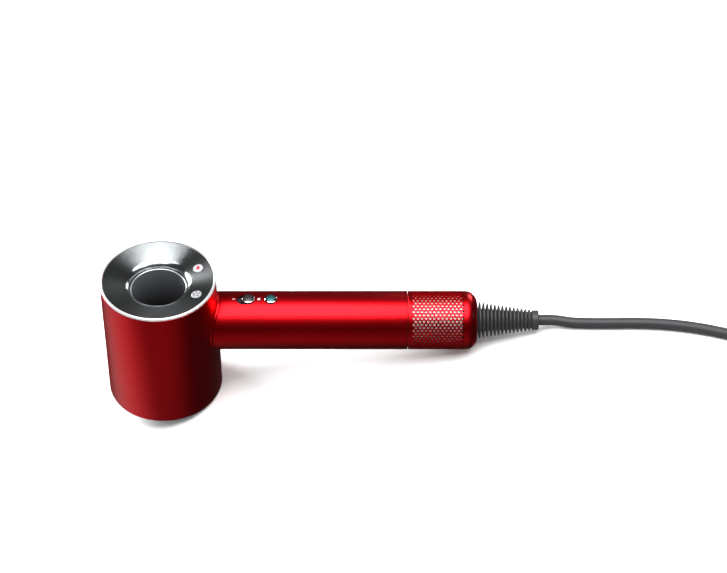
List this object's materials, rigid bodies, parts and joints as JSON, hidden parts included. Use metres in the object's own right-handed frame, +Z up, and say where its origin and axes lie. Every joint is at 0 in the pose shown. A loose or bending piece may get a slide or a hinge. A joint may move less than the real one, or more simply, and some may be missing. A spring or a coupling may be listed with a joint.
{
  "type": "hair dryer",
  "caption": "Hand-held hair dryer: ring-shaped head open through the middle, buttons on a brushed rear dish, motor in the round grip, pull-off filter cage and coiled mains cord.",
  "frame": {"origin": "centre of the dryer's footprint on the table, under the middle of its length and width, measured without the cord", "axes": "+Z up; +X along the dryer's length towards the filter and the cord; +Y across, its narrowest way. The dryer leans 13.2 degrees about +Y, grip end down, as it comes to rest"},
  "size_m": [0.5958, 0.1145, 0.1116],
  "materials": {
    "red_shell": "satin",
    "bright_rim": "polished",
    "brushed_dish": "brushed",
    "dark_plastic": "satin",
    "grey_plastic": "matte",
    "iron_grey_metal": "satin",
    "black_magnet": "satin",
    "mica_sheet": "matte",
    "heater_alloy": "matte",
    "steel": "satin",
    "circuit_board": "satin",
    "copper_wire": "satin",
    "grey_rubber": "matte",
    "tie_strap": "woven",
    "pin_metal": "polished"
  },
  "bodies": {
    "dryer_body": {"head_shell": "red_shell", "rear_bezel": "bright_rim", "rear_dish": "brushed_dish", "bore_liner": "dark_plastic", "front_ring": "iron_grey_metal", "magnet_ring": "black_magnet", "outlet_nozzle": "dark_plastic", "heater_coil_front": "heater_alloy", "heater_coil_rear": "heater_alloy", "heater_frame": "mica_sheet", "thermal_cutout": "steel", "ion_module": "grey_plastic", "control_board": "circuit_board", "heat_switch": "dark_plastic", "speed_switch": "dark_plastic", "head_screw_1": "steel", "head_screw_2": "steel", "head_screw_3": "steel", "grip_shell": "red_shell", "air_duct": "dark_plastic", "switch_bezel": "dark_plastic", "switch_board": "circuit_board", "slide_switch": "steel", "cool_shot_switch": "dark_plastic", "motor_board": "circuit_board", "capacitor": "dark_plastic", "motor_housing": "grey_plastic", "motor_mount_head_end": "grey_rubber", "motor_mount_filter_end": "grey_rubber", "stator_core": "steel", "stator_coil_1": "copper_wire", "stator_coil_2": "copper_wire", "stator_coil_3": "copper_wire", "stator_coil_4": "copper_wire", "bearing_head_end": "steel", "bearing_filter_end": "steel", "bearing_bridge": "iron_grey_metal", "diffuser": "iron_grey_metal", "filter_core": "dark_plastic", "filter_screen": "steel", "strain_relief": "grey_rubber", "cord_clamp": "dark_plastic", "clamp_screw_1": "steel", "clamp_screw_2": "steel", "live_wire": "copper_wire", "neutral_wire": "copper_wire", "power_cord": "grey_rubber", "cord_coil": "grey_rubber", "cord_tie": "tie_strap", "plug_body": "grey_rubber", "plug_pin_1": "pin_metal", "plug_pin_2": "pin_metal"},
    "power_slider": {"power_slider": "bright_rim"},
    "cool_shot_button": {"cool_shot_button": "bright_rim"},
    "heat_button": {"heat_button": "brushed_dish"},
    "speed_button": {"speed_button": "brushed_dish"},
    "filter_cage": {"filter_cage": "red_shell"},
    "rotor": {"rotor_shaft": "steel", "rotor_magnet": "black_magnet", "impeller": "dark_plastic"}
  },
  "joints": [
    {"name": "power_slide", "type": "slide", "parent": "dryer_body", "child": "power_slider", "axis": [-0.9736, 0, 0.2282], "range_m": [0, 0.0034]},
    {"name": "cool_shot_press", "type": "slide", "parent": "dryer_body", "child": "cool_shot_button", "axis": [-0.2282, 0, -0.9736], "range_m": [0, 0.001], "stiffness_N_per_m": 900},
    {"name": "heat_press", "type": "slide", "parent": "dryer_body", "child": "heat_button", "axis": [-0.0405, 0.0895, -0.9952], "range_m": [0, 0.0008], "stiffness_N_per_m": 900},
    {"name": "speed_press", "type": "slide", "parent": "dryer_body", "child": "speed_button", "axis": [-0.0405, -0.0895, -0.9952], "range_m": [0, 0.0008], "stiffness_N_per_m": 900},
    {"name": "cage_pull", "type": "slide", "parent": "dryer_body", "child": "filter_cage", "axis": [0.9736, 0, -0.2282], "range_m": [0, 0.05]},
    {"name": "rotor_spin", "type": "hinge", "parent": "dryer_body", "child": "rotor", "pos_m": [0.01928, 0, 0.03813], "axis": [0.9736, 0, -0.2282], "continuous": true}
  ]
}
